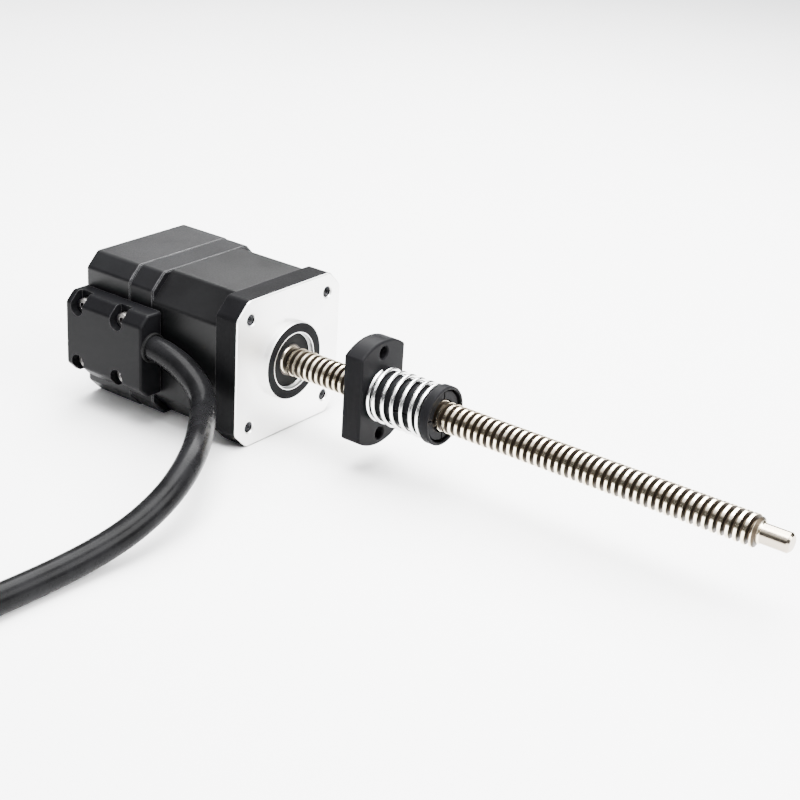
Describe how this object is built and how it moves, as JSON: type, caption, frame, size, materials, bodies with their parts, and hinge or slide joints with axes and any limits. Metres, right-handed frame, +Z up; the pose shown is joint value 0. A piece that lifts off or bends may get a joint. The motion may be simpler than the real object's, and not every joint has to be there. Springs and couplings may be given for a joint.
{
  "type": "stepper motor with lead screw",
  "caption": "Square hybrid stepper motor with an integral trapezoidal lead screw, a flanged spring-loaded anti-backlash nut, a rear encoder cover and a side cable box.",
  "frame": {"origin": "centre of the motor's mounting face, on the screw's axis", "axes": "+X along the screw towards its free end, +Z up, the cable box on the -Y side"},
  "size_m": [0.2064, 0.1539, 0.042],
  "materials": {
    "machined_aluminium": "turned and milled, bare",
    "lamination_steel": "stacked sheet, black coated outside",
    "insulator_nylon": "moulded",
    "enamelled_copper": "enamelled copper wire",
    "black_coat": "satin black",
    "black_oxide_steel": "black oxide",
    "bright_steel": "zinc plated",
    "bearing_steel": "ground",
    "ball_chrome": "polished",
    "brass_cage": "pressed",
    "black_rubber": "matte",
    "screw_steel": "rolled thread, bright",
    "magnet": "sintered",
    "disc_film": "printed film on a thin disc",
    "board_green": "solder mask",
    "black_plastic": "moulded, fine texture",
    "white_nylon": "moulded",
    "brass": "turned",
    "cable_black": "smooth jacket",
    "core_insulation": "extruded insulation",
    "spring_steel": "plated wire"
  },
  "bodies": {
    "housing": {"front_flange": "machined_aluminium", "stator_core": "lamination_steel", "front_insulator": "insulator_nylon", "rear_insulator": "insulator_nylon", "stator_coils": "enamelled_copper", "rear_bell": "black_coat", "motor_screws": "black_oxide_steel", "screw_washers": "bright_steel", "front_bearing_outer": "bearing_steel", "front_bearing_seals": "black_rubber", "rear_bearing_outer": "bearing_steel", "rear_bearing_seals": "black_rubber", "preload_washer": "bright_steel", "encoder_board": "board_green", "encoder_sensor": "black_plastic", "board_components": "black_plastic", "board_connector": "white_nylon", "board_standoffs": "brass", "board_screws": "bright_steel", "encoder_cover": "black_coat", "cover_gasket": "black_rubber", "cover_screws": "black_oxide_steel", "cable_box": "black_coat", "box_gasket": "black_rubber", "box_screws": "bright_steel", "cable_grommet": "black_rubber", "cable_jacket": "cable_black", "cable_cores": "core_insulation", "coil_leads": "core_insulation"},
    "rotor": {"lead_screw": "screw_steel", "rotor_cup_front": "lamination_steel", "rotor_cup_rear": "lamination_steel", "rotor_magnet": "magnet", "rotor_spacer_front": "bright_steel", "rotor_spacer_rear": "bright_steel", "front_bearing_inner": "bearing_steel", "rear_bearing_inner": "bearing_steel", "encoder_hub": "machined_aluminium", "encoder_disc": "disc_film", "hub_grub_screw": "black_oxide_steel"},
    "front_cage": {"front_bearing_balls": "ball_chrome", "front_bearing_cage": "brass_cage"},
    "rear_cage": {"rear_bearing_balls": "ball_chrome", "rear_bearing_cage": "brass_cage"},
    "nut": {"nut_body": "black_plastic", "antibacklash_spring": "spring_steel"},
    "collar": {"nut_collar": "black_plastic"}
  },
  "joints": [
    {"name": "screw_spin", "type": "hinge", "parent": "housing", "child": "rotor", "pos_m": [0, 0, 0], "axis": [1, 0, 0], "range_deg": [-3600, 15840]},
    {"name": "nut_travel", "type": "slide", "parent": "housing", "child": "nut", "axis": [1, 0, 0], "range_m": [-0.0201, 0.0881]},
    {"name": "collar_slide", "type": "slide", "parent": "nut", "child": "collar", "axis": [1, 0, 0], "range_m": [-0.006, 0], "deforming": ["antibacklash_spring"]},
    {"name": "front_cage_spin", "type": "hinge", "parent": "housing", "child": "front_cage", "pos_m": [0, 0, 0], "axis": [1, 0, 0], "range_deg": [-1500, 6600]},
    {"name": "rear_cage_spin", "type": "hinge", "parent": "housing", "child": "rear_cage", "pos_m": [0, 0, 0], "axis": [1, 0, 0], "range_deg": [-1330, 5830]}
  ],
  "couplings": [
    {"joint": "nut_travel", "follows": "screw_spin", "m_per_rad": 0.00031831},
    {"joint": "front_cage_spin", "follows": "screw_spin", "ratio": 0.4166},
    {"joint": "rear_cage_spin", "follows": "screw_spin", "ratio": 0.3677}
  ]
}
